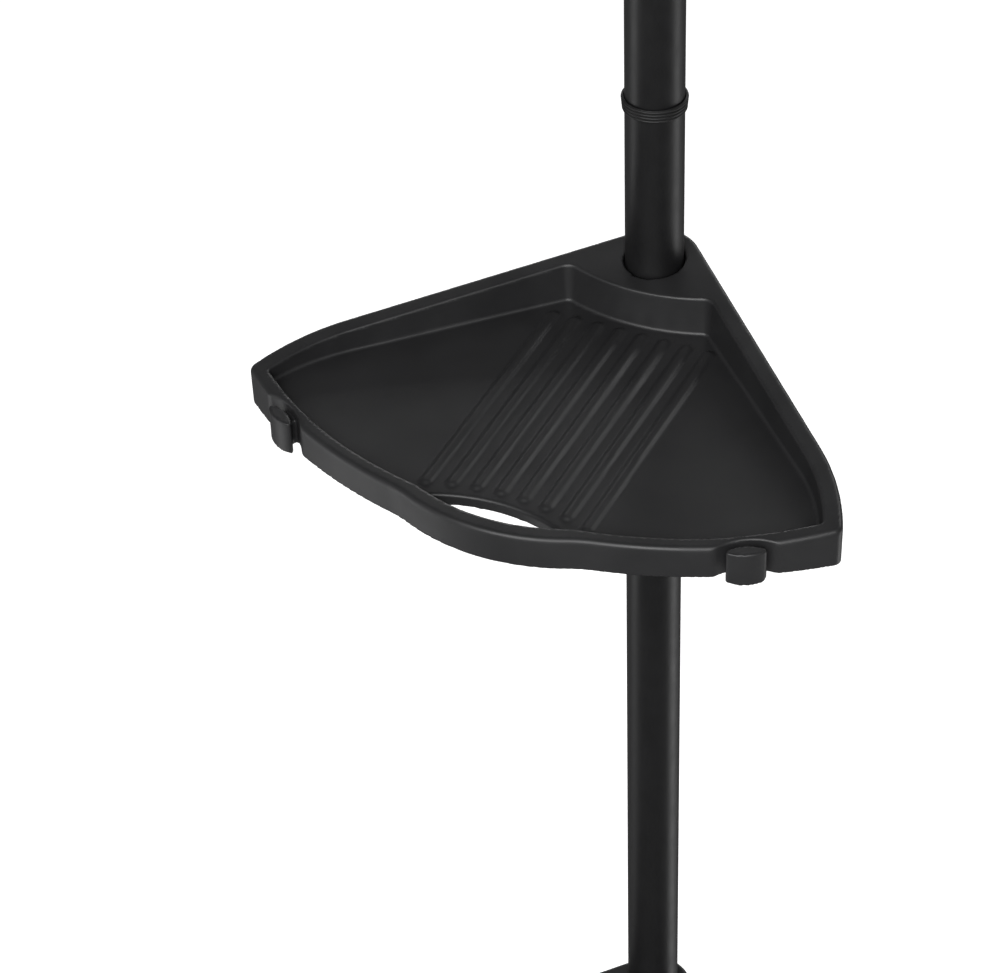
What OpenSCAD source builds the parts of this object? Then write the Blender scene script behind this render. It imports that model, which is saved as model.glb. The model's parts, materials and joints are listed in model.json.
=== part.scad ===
/* [Pole] */
// Outside diameter of the pole tubes
tube_d = 25; // [22:0.5:28]
// Wall thickness of the pole tubes
tube_wall = 1; // [0.8:0.1:1.5]
// Length of each plain tube, from one joint ring to the next
tube_len = 600; // [560:5:640]
// Visible length of the tube that holds the spring
spring_tube_len = 440; // [400:5:480]
// Length of the plunger that stands out of the spring tube
plunger_out = 176; // [110:2:200]
// Outside diameter of the plunger tube
plunger_d = 21.4; // [20.8:0.1:21.6]
// Height of the ridged ring at each tube joint
ring_h = 6; // [5:0.5:8]
// How far the ridged ring stands out from the tube
ring_lip = 1.4; // [1:0.1:2]
// Diameter of the floor foot and the ceiling foot
foot_d = 52; // [44:1:64]
// Height of each foot with its pad
foot_h = 26; // [22:1:34]

/* [Tray] */
// Height from one tray to the next
tray_pitch = 452; // [440:5:470]
// Distance from the top joint ring down to the top tray's rim
tray_drop = 78; // [70:1:90]
// Clearance of the tray's hole round the pole, on the radius
hole_gap = 0.6; // [0.4:0.1:1]
// Distance from the pole axis to each straight back edge
back_dist = 19.8; // [19:0.5:22]
// Width of the rim along the back edges
rim_back = 8; // [7:0.5:9]
// Width of the rim along the front
rim_front = 6.4; // [6:0.2:7]
// Depth of the floor below the rim, measured at the pole axis
floor_depth = 19.4; // [18:0.2:22]
// Slope of the floor towards the drain slot, in degrees
floor_fall = 1; // [0:0.25:1.5]
// Rake of the rim, which falls from the pole to the front, in degrees
rim_rake = 7.5; // [6:0.25:8]
// Height of the front rim's top, below the rim at the pole
front_drop = 18.5; // [17:0.5:19]
// Thickness of the moulded walls
wall = 2.2; // [1.8:0.1:2.6]
// Number of raised ribs on the floor
rib_count = 8; // [4:2:10]
// Spacing of the ribs
rib_pitch = 10.2; // [8:0.2:11]
// Width of one rib
rib_w = 4.4; // [2.5:0.1:4.5]
// Height of one rib above the floor
rib_h = 1.3; // [0.8:0.1:1.6]

/* [Hooks] */
// Angle of each hook from the middle of the front edge, in degrees
hook_angle = 29.9; // [26:0.2:32]
// Width of a hook's plate
hook_w = 16; // [13:0.2:17]
// Height of a hook's plate
hook_h = 15.6; // [13:0.2:17]
// Thickness of a hook's plate at its middle
hook_t = 5.8; // [5:0.2:6.2]

/* [Hidden] */
$fn = 48;
eps = 0.01;

plastic = [0.11, 0.11, 0.115];
enamel = [0.07, 0.07, 0.075];
soft = [0.05, 0.05, 0.05];
bright = [0.72, 0.72, 0.74];

// pole
tube_r = tube_d / 2;
bore_r = tube_r - tube_wall;
ring_r = tube_r + ring_lip;
spigot_r = bore_r - 0.05;
spigot_len = 32;
pad_t = 4;
foot_cup = 14;
seat_z = foot_h - foot_cup;
joint_z = [for (i = [1:3]) seat_z + i * tube_len];
spring_top = joint_z[2] + spring_tube_len;
plunger_r = plunger_d / 2;
plunger_bore = plunger_r - tube_wall;
top_z = spring_top + plunger_out;
bush_len = 40;
plug_h = 14;
plug_z = spring_top - bush_len - plug_h - 0.3;
spring_len = 175;
seat_face = plug_z - spring_len;
wire_r = 1.1;
coil_r = 8.4;
coil_turns = 18;

// trays: each has nodes of its own, so their number is fixed
tray_count = 4;

// tray plan: arcs that share tangents, all in the tray's own frame with the pole at its origin
side_r = 106;
side_tangent = 131;
side_c = [side_tangent * sin(45) - (side_r - back_dist) * sin(45),
          -side_tangent * sin(45) - (side_r - back_dist) * sin(45)];
front_r = 206;
front_c = [0, 39.9];
bulge_r = 87;
bulge_c = [0, -84.8];
corner_r = 4;
blend_r = 60;
boss_r = 86;
boss_front = -21.7;
boss_c = [0, boss_front + boss_r];
rake = tan(rim_rake);
fall = tan(floor_fall);
flat_y = -front_drop / rake;
skirt_front = 15;
skirt_z = -front_drop - skirt_front;
floor_t = 2.4;
roof_t = 2.4;
slot_r = 70.5;
slot_c = [0, -150.3 - slot_r];
slot_lip = 5.5;
rib_arc_r = 100;
rib_arc_c = [0, -145.3 - rib_arc_r];
rib_back = -27.5;
rib_shift = 2;
hub_r = back_dist - wall;
hub_h = 38;
hub_roof = 4;
cone_top_r = 14.2;
cone_slope = 0.045;
cone_gap = 0.08;
sleeve_gap = 0.05;
split_gap = 0.8;
flange_r = 18.5;
flange_h = 3;
notch_depth = 4;
notch_r = 23;
hook_face_r = 15;
hook_proud = 4.5;
hook_neck = 8;
hook_neck_drop = 3;
hook_drop = 0.3;
hook_turn = 0.8;
far = 240;
tall = 120;

function tray_z(i) = joint_z[2] - tray_drop - (tray_count - i) * tray_pitch;
function rim_z(y) = max(rake * y, -front_drop);
function floor_z(y) = -floor_depth + fall * (y - back_dist);

function arc(c, r, a, b, n) = [for (i = [0:n]) c + r * [cos(a + (b - a) * i / n), sin(a + (b - a) * i / n)]];
function angle_of(v) = atan2(v[1], v[0]);
// the point on the right at distance r1 from c1 and r2 from c2, with c1 above c2
function meet(c1, r1, c2, r2) =
    let (d = norm(c2 - c1), u = (c2 - c1) / d, k = (d * d + r1 * r1 - r2 * r2) / (2 * d))
    c1 + k * u + sqrt(r1 * r1 - k * k) * [-u[1], u[0]];
function mirrored(p) = [for (i = [len(p) - 1:-1:0]) if (p[i][0] > eps) [-p[i][0], p[i][1]]];
function both_halves(p) = concat(p, mirrored(p));

// right half of the front edge, from the side arc to the middle, drawn in by b behind and f in front
function edge_half(b, f) =
    let (k_r = max(corner_r - max(b, f), 1.5),
         k = meet(front_c, front_r - f - k_r, side_c, side_r - b - k_r),
         j_r = blend_r + f,
         j = meet(front_c, front_r - f + j_r, bulge_c, bulge_r - f + j_r),
         k_front = angle_of(k - front_c),
         j_front = angle_of(j - front_c),
         j_bulge = angle_of(j - bulge_c))
    concat(arc(side_c, side_r - b, 45, angle_of(k - side_c), 7),
           arc(k, k_r, angle_of(k - side_c), k_front, 6),
           arc(front_c, front_r - f, k_front, j_front, 10),
           arc(j, j_r, j_front + 180, j_bulge + 180, 4),
           arc(bulge_c, bulge_r - f, j_bulge, -90, 7));

// the whole outline, drawn in by b behind and f in front, round the pole at the back
function outline(b, f) = both_halves(concat(arc([0, 0], back_dist - b, 90, 45, 6), edge_half(b, f)));

// the recess: as the outline, but with the pole's platform cut off by an arc, g further forward
function recess(b, f, g) =
    let (d = back_dist - b, x = 34 - g * 0.4, corner = [d * sqrt(2) - x, 0])
    both_halves(concat(arc(boss_c, boss_r + g, -90, -90 + asin((x - 3) / (boss_r + g)), 5),
                       [[x, d * sqrt(2) - x]], edge_half(b, f)));

// a slab that runs the whole width of the tray, from a side outline in [y, z] points
module across(points) {
    rotate([90, 0, 90]) linear_extrude(2 * far, center = true) polygon(points);
}

module column(points) {
    translate([0, 0, -tall / 2]) linear_extrude(tall) polygon(points);
}

// everything between two heights that depend on y: the rim's or floor's height, lowered by drop
module below_rim(drop) {
    across([[40, rim_z(40) - drop], [flat_y, rim_z(flat_y) - drop], [-far, rim_z(-far) - drop],
            [-far, -tall], [40, -tall]]);
}

module above_floor() {
    across([[40, floor_z(40)], [40, tall], [-far, tall], [-far, floor_z(-far)]]);
}

module below_floor() {
    across([[40, floor_z(40) - floor_t], [-far, floor_z(-far) - floor_t], [-far, -tall], [40, -tall]]);
}

module above_skirt() {
    translate([-far, -far, skirt_z]) cube([2 * far, 2 * far, tall]);
}

module at_hooks() {
    for (side = [-1, 1])
        translate([front_c[0], front_c[1], 0]) rotate([0, 0, side * hook_angle - hook_turn])
            translate([0, -front_r, 0]) children();
}

// the shallow round hollow in the skirt behind a hook, grown by g
module notch(g) {
    translate([0, notch_depth - notch_r, -tall / 2]) cylinder(r = notch_r + g, h = tall, $fn = 72);
}

module hook() {
    z = -front_drop - hook_drop - hook_h;
    translate([0, 0, z]) {
        // the plate: bowed in front and behind, with square ends
        intersection() {
            translate([0, hook_face_r - hook_proud, 0]) cylinder(r = hook_face_r, h = hook_h);
            translate([0, hook_t - hook_proud - hook_face_r, 0]) cylinder(r = hook_face_r, h = hook_h);
            translate([-hook_w / 2, -hook_proud - 1, -1]) cube([hook_w, hook_t + 2, hook_h + 2]);
        }
        translate([-hook_neck / 2, 0, 1])
            cube([hook_neck, notch_depth + wall / 2, hook_h - 1 - hook_neck_drop]);
    }
}

module rib(x) {
    y0 = rib_arc_c[1] + sqrt(rib_arc_r * rib_arc_r - x * x);
    intersection() {
        translate([x, 0, -tall / 2]) {
            translate([-rib_w / 2, y0 + rib_w / 2, 0]) cube([rib_w, rib_back - y0 - rib_w, tall]);
            for (y = [y0 + rib_w / 2, rib_back - rib_w / 2])
                translate([0, y, 0]) cylinder(d = rib_w, h = tall);
        }
        across([[0, floor_z(0) + rib_h], [-far, floor_z(-far) + rib_h],
                [-far, floor_z(-far) - 1], [0, floor_z(0) - 1]]);
    }
}

// stiffening webs under the floor, from the hub to the skirt
module webs() {
    intersection() {
        union() {
            for (a = [-38, 0, 38])
                rotate([0, 0, a]) translate([-0.9, -147 + abs(a) * 0.2, -tall / 2]) cube([1.8, 132, tall]);
        }
        across([[0, floor_z(0) - 1], [-far, floor_z(-far) - 1], [-far, floor_z(-far) - 8], [0, floor_z(0) - 8]]);
        column(outline(wall / 2, wall / 2));
    }
}

module slot_lips() {
    intersection() {
        translate([slot_c[0], slot_c[1], -tall / 2]) difference() {
            cylinder(r = slot_r + wall, h = tall, $fn = 96);
            translate([0, 0, -1]) cylinder(r = slot_r, h = tall + 2, $fn = 96);
        }
        column(outline(wall / 2, wall / 2));
        across([[0, floor_z(0) - 1], [-far, floor_z(-far) - 1],
                [-far, floor_z(-far) - slot_lip], [0, floor_z(0) - slot_lip]]);
    }
}

module tray_shell() {
    difference() {
        intersection() {
            column(outline(0, 0));
            below_rim(0);
            above_skirt();
        }
        // the recess that holds the things
        intersection() {
            column(recess(rim_back, rim_front, 0));
            above_floor();
        }
        // under the floor
        difference() {
            intersection() {
                column(recess(rim_back - wall, rim_front - wall, -wall));
                below_floor();
            }
            at_hooks() notch(wall);
        }
        // under the rim and the platform
        difference() {
            intersection() {
                column(outline(wall, wall));
                below_rim(roof_t);
            }
            column(recess(rim_back - wall, rim_front - wall, -wall));
            at_hooks() notch(wall);
        }
        at_hooks() notch(0);
    }
}

module tray_at(i) {
    color(plastic) translate([0, 0, tray_z(i)]) difference() {
        union() {
            difference() {
                union() {
                    tray_shell();
                    webs();
                    slot_lips();
                }
                // the drain slot
                intersection() {
                    column(recess(rim_back, rim_front, 0));
                    translate([slot_c[0], slot_c[1], -tall / 2]) cylinder(r = slot_r, h = tall, $fn = 96);
                }
            }
            for (k = [0:rib_count - 1]) rib((k - (rib_count - 1) / 2) * rib_pitch + rib_shift);
            at_hooks() hook();
            translate([0, 0, -hub_h]) cylinder(r = hub_r, h = hub_h - roof_t + 1);
        }
        translate([0, 0, -tall / 2]) cylinder(r = tube_r + hole_gap, h = tall);
        translate([0, 0, -hub_h - eps])
            cylinder(r1 = cone_top_r + cone_slope * (hub_h - hub_roof), r2 = cone_top_r, h = hub_h - hub_roof);
    }
}

// one half of the tapered split sleeve that grips the pole inside a tray's hub
module sleeve_half(i, side) {
    h = hub_h - hub_roof - 1;
    color(plastic) translate([0, 0, tray_z(i) - hub_h]) difference() {
        union() {
            cylinder(r1 = cone_top_r + cone_slope * (h + 1) - cone_gap,
                     r2 = cone_top_r + cone_slope - cone_gap, h = h);
            translate([0, 0, -flange_h - 0.3]) cylinder(r = flange_r, h = flange_h);
            translate([0, 0, -0.3 - eps]) cylinder(r = cone_top_r + 1, h = 0.3 + 2 * eps);
        }
        translate([0, 0, -tall / 2]) cylinder(r = tube_r + sleeve_gap, h = tall);
        translate([-far, side > 0 ? -far + split_gap / 2 : -split_gap / 2, -tall / 2]) cube([2 * far, far, tall]);
    }
}

module pipe(r, inner, z0, z1) {
    translate([0, 0, z0]) difference() {
        cylinder(r = r, h = z1 - z0);
        translate([0, 0, -1]) cylinder(r = inner, h = z1 - z0 + 2);
    }
}

// a moulded coupling: a ridged ring outside, a spigot up and a spigot down inside the tubes
module coupling(z) {
    color(plastic) translate([0, 0, z]) difference() {
        union() {
            translate([0, 0, -ring_h / 2]) cylinder(r = ring_r - 0.35, h = ring_h);
            for (k = [-1:1])
                translate([0, 0, k * ring_h / 3 - ring_h / 9]) cylinder(r = ring_r, h = ring_h * 2 / 9);
            translate([0, 0, -spigot_len]) cylinder(r = spigot_r, h = 2 * spigot_len);
        }
        translate([0, 0, -spigot_len - 1]) cylinder(r = spigot_r - 2, h = 2 * spigot_len + 2);
        // the ring is a cup above and below its middle web, so both tubes enter it
        for (s = [-1, 1])
            translate([0, 0, s * (1 + ring_h / 2) - ring_h / 2]) difference() {
                cylinder(r = tube_r + 0.25, h = ring_h);
                translate([0, 0, -1]) cylinder(r = spigot_r, h = ring_h + 2);
            }
    }
}

module plain_tube(k) {
    z0 = k == 0 ? seat_z : joint_z[k - 1] + 1;
    color(enamel) pipe(tube_r, bore_r, z0, joint_z[k] - 1);
}

// a flared foot, wide face down, with a cup for the tube and a peg inside it
module foot(r_tube, r_inner) {
    rim_r = foot_d / 2;
    cup_r = r_tube + 3.2;
    color(plastic) difference() {
        rotate_extrude($fn = 72) polygon([[0, pad_t], [rim_r, pad_t], [rim_r, pad_t + 2.5],
            [rim_r - 4, pad_t + 5], [cup_r + 3, pad_t + 8], [cup_r, pad_t + 12], [cup_r, foot_h - 1],
            [cup_r - 1, foot_h], [0, foot_h]]);
        translate([0, 0, seat_z]) difference() {
            cylinder(r = r_tube + 0.1, h = foot_h);
            translate([0, 0, -1]) cylinder(r = r_inner - 0.1, h = foot_h + 2);
        }
        translate([0, 0, seat_z + 2]) cylinder(r = r_inner - 2.2, h = foot_h);
    }
}

// a rubber pad with a raised border that the foot stands in
module pad() {
    rim_r = foot_d / 2;
    color(soft) difference() {
        rotate_extrude($fn = 72) polygon([[0, 0], [rim_r + 0.5, 0], [rim_r + 1.5, 1],
            [rim_r + 1.5, pad_t + 1.5], [rim_r, pad_t + 1.5], [rim_r, pad_t], [0, pad_t]]);
        for (r = [10, 16, 22])
            translate([0, 0, -eps]) difference() {
                cylinder(r = r + 0.8, h = 1.2);
                translate([0, 0, -1]) cylinder(r = r - 0.8, h = 4);
            }
    }
}

module floor_pad() {
    pad();
}

module floor_foot() {
    foot(tube_r, bore_r);
}

module spring_tube() {
    color(enamel) pipe(tube_r, bore_r, joint_z[2] + 1, spring_top);
}

// a ribbed disc pressed into the spring tube, which the spring stands on
module spring_seat() {
    color(plastic) translate([0, 0, seat_face - 10]) difference() {
        union() {
            cylinder(r = bore_r - 0.03, h = 10);
            cylinder(r = coil_r - wire_r - 0.4, h = 18);
        }
        translate([0, 0, -1]) cylinder(r = 4, h = 30);
    }
}

module tension_spring() {
    z0 = seat_face + wire_r;
    length = spring_len - 2 * wire_r;
    sides = 6;
    steps = 10;
    n = coil_turns * steps;
    points = [for (i = [0:n], j = [0:sides - 1])
        let (a = 360 * i / steps, b = 360 * j / sides, r = coil_r + wire_r * cos(b))
        [r * cos(a), r * sin(a), z0 + length * i / n + wire_r * sin(b)]];
    rings = [for (i = [0:n - 1], j = [0:sides - 1])
        let (k = (j + 1) % sides)
        [i * sides + j, i * sides + k, (i + 1) * sides + k, (i + 1) * sides + j]];
    ends = [[for (j = [sides - 1:-1:0]) j], [for (j = [0:sides - 1]) n * sides + j]];
    color(bright) polyhedron(points, concat(rings, ends), convexity = 8);
}

// the guide on the plunger's lower end, which the spring pushes up
module plunger_plug() {
    color(plastic) translate([0, 0, plug_z]) difference() {
        union() {
            cylinder(r = bore_r - 0.08, h = plug_h);
            translate([0, 0, plug_h - eps]) cylinder(r = plunger_bore - 0.05, h = 18);
            translate([0, 0, -8]) cylinder(r = coil_r - wire_r - 0.4, h = 9);
        }
        translate([0, 0, -10]) cylinder(r = 4, h = 60);
    }
}

module plunger_tube() {
    color(enamel) pipe(plunger_r, plunger_bore, plug_z + plug_h, top_z);
}

// the bush that lines the spring tube's mouth and stops the plunger's plug
module guide_bush() {
    color(plastic) pipe(bore_r - 0.03, plunger_r + 0.08, spring_top - bush_len, spring_top);
}

// the ridged collar on the spring tube's mouth, like the rings lower down
module end_collar() {
    color(plastic) translate([0, 0, spring_top - ring_h]) difference() {
        union() {
            cylinder(r = ring_r - 0.35, h = ring_h + 2);
            for (k = [0:2])
                translate([0, 0, k * ring_h / 3 + 0.8]) cylinder(r = ring_r, h = ring_h * 2 / 9);
        }
        translate([0, 0, -1]) cylinder(r = tube_r + 0.03, h = ring_h + 1);
        translate([0, 0, -1]) cylinder(r = plunger_r + 0.3, h = ring_h + 4);
    }
}

module ceiling_foot() {
    translate([0, 0, top_z + seat_z]) mirror([0, 0, 1]) foot(plunger_r, plunger_bore);
}

module ceiling_pad() {
    translate([0, 0, top_z + seat_z]) mirror([0, 0, 1]) pad();
}

floor_pad();
floor_foot();
plain_tube(0);  // lower_tube
coupling(joint_z[0]);  // lower_joint
plain_tube(1);  // middle_tube
coupling(joint_z[1]);  // middle_joint
plain_tube(2);  // upper_tube
coupling(joint_z[2]);  // upper_joint
spring_tube();
spring_seat();
tension_spring();
plunger_plug();
plunger_tube();
guide_bush();
end_collar();
ceiling_foot();
ceiling_pad();
tray_at(1);  // tray_1
sleeve_half(1, -1);  // sleeve_front_1
sleeve_half(1, 1);  // sleeve_back_1
tray_at(2);  // tray_2
sleeve_half(2, -1);  // sleeve_front_2
sleeve_half(2, 1);  // sleeve_back_2
tray_at(3);  // tray_3
sleeve_half(3, -1);  // sleeve_front_3
sleeve_half(3, 1);  // sleeve_back_3
tray_at(4);  // tray_4
sleeve_half(4, -1);  // sleeve_front_4
sleeve_half(4, 1);  // sleeve_back_4
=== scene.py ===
import json
import math

import bpy
import numpy as np
from mathutils import Matrix, Vector


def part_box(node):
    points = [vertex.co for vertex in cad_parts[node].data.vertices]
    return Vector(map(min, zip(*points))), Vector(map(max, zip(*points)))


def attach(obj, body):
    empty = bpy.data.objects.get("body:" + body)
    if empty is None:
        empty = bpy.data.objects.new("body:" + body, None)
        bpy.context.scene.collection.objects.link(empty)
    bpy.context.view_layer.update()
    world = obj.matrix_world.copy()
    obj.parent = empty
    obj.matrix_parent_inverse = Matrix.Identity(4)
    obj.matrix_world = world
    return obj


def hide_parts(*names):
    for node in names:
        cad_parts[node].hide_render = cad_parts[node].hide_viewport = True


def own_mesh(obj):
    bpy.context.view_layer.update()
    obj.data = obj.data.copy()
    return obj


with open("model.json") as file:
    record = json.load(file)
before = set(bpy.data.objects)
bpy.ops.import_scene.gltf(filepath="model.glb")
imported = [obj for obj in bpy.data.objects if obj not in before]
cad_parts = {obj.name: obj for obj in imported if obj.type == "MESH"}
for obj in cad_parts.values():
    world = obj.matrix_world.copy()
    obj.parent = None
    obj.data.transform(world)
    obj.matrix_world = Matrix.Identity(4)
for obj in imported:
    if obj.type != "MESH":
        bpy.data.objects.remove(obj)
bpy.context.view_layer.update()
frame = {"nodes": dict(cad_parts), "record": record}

bl_info = {
    "name": "Tension Pole Shower Caddy",
    "version": (1, 0, 0),
    "blender": (4, 5, 0),
    "location": "View3D > Sidebar > Caddy",
    "description": "Builds the visible pieces of a tension pole shower caddy round its packed frame",
    "category": "Object",
}

TRAYS = ("tray_1", "tray_2", "tray_3", "tray_4")
TUBES = ("lower_tube", "middle_tube", "upper_tube", "spring_tube", "plunger_tube")
MM = 0.001

# The trays' plan in millimetres, with the pole's axis at the origin and the front towards -Y.
# It is made of arcs that share tangents; those on the middle line have a radius and a centre's y.
SIDE_R, SIDE_REACH = 106.0, 131.0       # bow of a back side, and the end of its straight part
FRONT_R, FRONT_Y = 206.0, 39.9          # front edge
BULGE_R, BULGE_Y = 87.0, -84.8          # its bulge at the middle
CORNER_R, BLEND_R = 4.0, 60.0           # front corners, and the blend between the front and the bulge
BOSS_R, BOSS_Y, BOSS_FILLET = 86.0, 64.3, 3.2   # front of the pole's platform
SLOT_R, SLOT_Y = 70.5, -220.8           # drain slot
RIB_ARC_R, RIB_ARC_Y, RIB_BACK = 100.0, -245.3, -27.5   # where the ribs end, in front and behind
# The trays' section, in millimetres unless said.
SKIN = 2.4                              # thickness of the floor and of the rim
FLOOR_FALL = 1.0                        # slope of the floor, degrees
SKIRT_DRAFT = 0.012                     # lean of the skirt, mm in each mm
RIM_BEND = 0.35                         # softness of the bend where the rim turns level
WEB_ANGLES, WEB_HALF, WEB_DEEP = (-38, 0, 38), 0.9, 8   # webs under the floor
CONE_R, CONE_SLOPE, CONE_TOP = 14.2, 0.045, -4          # tapered seat in the hub
CONE_GAP = 0.08                         # room between that seat and the sleeve
HOOK_FACE_R, HOOK_NECK, HOOK_NECK_DROP = 15.0, 8.0, 3.0 # bow of a hook's plate, and its neck


# ---------------------------------------------------------------- small tools

def linear(hexcode):
    """An sRGB hex colour as a linear RGBA tuple."""
    values = [int(hexcode[i:i + 2], 16) / 255 for i in (1, 3, 5)]
    return tuple(v / 12.92 if v <= 0.04045 else ((v + 0.055) / 1.055) ** 2.4 for v in values) + (1.0,)


def add_node(tree, kind, settings=None, **links):
    """Adds one node. A setting is an attribute, or an input by name or number.

    A link is input name = output socket, or i and the input's number = output socket.
    """
    node = tree.nodes.new(kind)
    settings = settings or {}
    for key, value in settings.items():
        if isinstance(key, str) and hasattr(node, key):
            setattr(node, key, value)
    for key, value in settings.items():
        if not (isinstance(key, str) and hasattr(node, key)):
            node.inputs[key].default_value = value
    for key, socket in links.items():
        name = int(key[1:]) if key[0] == "i" and key[1:].isdigit() else key.replace("_", " ")
        tree.links.new(socket, node.inputs[name])
    return node


def new_material(name):
    """A fresh material with its tree, its shader and its output."""
    material = bpy.data.materials.new(name)
    material.use_nodes = True
    tree = material.node_tree
    tree.nodes.clear()
    shader = add_node(tree, "ShaderNodeBsdfPrincipled")
    out = add_node(tree, "ShaderNodeOutputMaterial")
    tree.links.new(shader.outputs[0], out.inputs[0])
    return material, tree, shader


def mesh_object(name, points, faces, normals=None, smooth=True):
    """A mesh object in metres from points in metres."""
    mesh = bpy.data.meshes.new(name)
    if isinstance(faces, np.ndarray):
        mesh.vertices.add(len(points))
        mesh.vertices.foreach_set("co", np.asarray(points, np.float32).ravel())
        mesh.loops.add(faces.size)
        mesh.loops.foreach_set("vertex_index", faces.astype(np.int32).ravel())
        mesh.polygons.add(len(faces))
        mesh.polygons.foreach_set("loop_start", np.arange(len(faces), dtype=np.int32) * faces.shape[1])
    else:
        mesh.from_pydata([tuple(p) for p in points], [], faces)
    mesh.update(calc_edges=True)
    mesh.validate()
    mesh.polygons.foreach_set("use_smooth", [smooth] * len(mesh.polygons))
    if normals is not None:
        mesh.normals_split_custom_set_from_vertices([tuple(n) for n in normals])
    obj = bpy.data.objects.new(name, mesh)
    bpy.context.scene.collection.objects.link(obj)
    return obj


def arc_points(corner, before, after, radius, steps=5):
    """A corner of a profile replaced by an arc that touches both of its sides."""
    corner, before, after = (np.array(p, float) for p in (corner, before, after))
    u, v = before - corner, after - corner
    lu, lv = np.linalg.norm(u), np.linalg.norm(v)
    u, v = u / lu, v / lv
    half = math.acos(max(-1.0, min(1.0, float(u @ v)))) / 2
    if half > 1.55 or radius <= 0:
        return [corner]
    reach = min(radius / math.tan(half), 0.49 * lu, 0.49 * lv)
    radius = reach * math.tan(half)
    middle = corner + (u + v) / np.linalg.norm(u + v) * (radius / math.sin(half))
    a, b = corner + u * reach - middle, corner + v * reach - middle
    turn = math.atan2(a[0] * b[1] - a[1] * b[0], float(a @ b))
    points = []
    for i in range(steps + 1):
        t = turn * i / steps
        points.append(middle + np.array([a[0] * math.cos(t) - a[1] * math.sin(t),
                                         a[0] * math.sin(t) + a[1] * math.cos(t)]))
    return points


def soften(profile, radius, closed):
    """A profile of (r, z) points with its corners rounded."""
    n = len(profile)
    out = []
    for i, p in enumerate(profile):
        if not closed and i in (0, n - 1):
            out.append(np.array(p, float))
        else:
            out += arc_points(p, profile[i - 1], profile[(i + 1) % n], radius)
    return out


def lathe(name, profile, radius=0.5, closed=True, segments=96, start=0.0, end=360.0):
    """Turns a softened (r, z) profile in millimetres about the pole's axis.

    The profile runs anticlockwise with r to the right and z up. A part turn gets flat end faces.
    """
    line = soften(profile, radius, closed)
    whole = abs(end - start - 360) < 1e-6
    steps = segments if whole else max(8, int(segments * (end - start) / 360))
    angles = [math.radians(start + (end - start) * i / steps) for i in range(steps if whole else steps + 1)]
    n = len(line)
    points = [(p[0] * MM * math.cos(a), p[0] * MM * math.sin(a), p[1] * MM) for a in angles for p in line]
    faces = []
    rings = len(angles) if whole else len(angles) - 1
    for i in range(rings):
        j = (i + 1) % len(angles)
        for k in range(n if closed else n - 1):
            m = (k + 1) % n
            faces.append((i * n + k, j * n + k, j * n + m, i * n + m))
    if not whole:
        faces.append(tuple(range(n)))
        faces.append(tuple(reversed(range((len(angles) - 1) * n, len(angles) * n))))
    obj = mesh_object(name, points, faces)
    bpy.context.view_layer.objects.active = obj
    tidy = obj.modifiers.new("weld", "WELD")
    tidy.merge_threshold = 1e-6
    apply_modifiers(obj)
    mark_sharp(obj)
    return obj


def apply_modifiers(obj):
    """Replaces an object's mesh by its evaluated one and drops its modifiers."""
    graph = bpy.context.evaluated_depsgraph_get()
    mesh = bpy.data.meshes.new_from_object(obj.evaluated_get(graph))
    obj.modifiers.clear()
    obj.data = mesh
    mesh.name = obj.name


def mark_sharp(obj, angle=40):
    """Smooth shading that breaks at real edges."""
    obj.data.set_sharp_from_angle(angle=math.radians(angle))


def finish_piece(obj, body, slot_name, material, *nodes):
    """Gives a piece its material and its body, and hides the nodes it stands for. Its slot name is not used.
    """
    obj.data.materials.clear()
    obj.data.materials.append(material)
    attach(obj, body)
    if nodes:
        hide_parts(*nodes)
    return obj


def body_of(node):
    return next(b for b, members in frame["record"]["behaviour"]["bodies"].items() if node in members)


# ---------------------------------------------------------------- materials

def surface(name, base, lighter, rough, grain_mm, grain_depth, mottle_mm, extras=None, swirl=None):
    """One finish: two close colours, two roughness values and two bumps, all on the piece's own coordinates.

    The bumps are a fine grain and a slow wave, whose depth is swirl or three times the grain's.
    """
    material, tree, shader = new_material(name)
    place = add_node(tree, "ShaderNodeTexCoord").outputs["Object"]
    broad = add_node(tree, "ShaderNodeTexNoise",
                     {"Scale": 1 / (mottle_mm * MM), "Detail": 3.0, "Roughness": 0.55}, Vector=place)
    fine = add_node(tree, "ShaderNodeTexNoise",
                    {"Scale": 1 / (grain_mm * MM), "Detail": 2.0, "Roughness": 0.5}, Vector=place)
    wave = add_node(tree, "ShaderNodeTexNoise",
                    {"Scale": 1 / (mottle_mm * 0.6 * MM), "Detail": 1.0}, Vector=place)
    mix = add_node(tree, "ShaderNodeMix", {"data_type": "RGBA", 6: linear(base), 7: linear(lighter)},
                   i0=broad.outputs[0])
    tree.links.new(mix.outputs[2], shader.inputs["Base Color"])
    gloss = add_node(tree, "ShaderNodeMapRange", {1: 0.3, 2: 0.7, 3: rough[0], 4: rough[1]},
                     i0=broad.outputs[0])
    tree.links.new(gloss.outputs[0], shader.inputs["Roughness"])
    bump = add_node(tree, "ShaderNodeBump", {"Strength": 1.0, "Distance": grain_depth * MM},
                    Height=fine.outputs[0])
    ripple = add_node(tree, "ShaderNodeBump", {"Strength": 1.0, "Distance": (swirl or grain_depth * 3) * MM},
                      Height=wave.outputs[0], Normal=bump.outputs[0])
    tree.links.new(ripple.outputs[0], shader.inputs["Normal"])
    for key, value in (extras or {}).items():
        shader.inputs[key].default_value = value
    return material


MADE = {}


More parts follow.
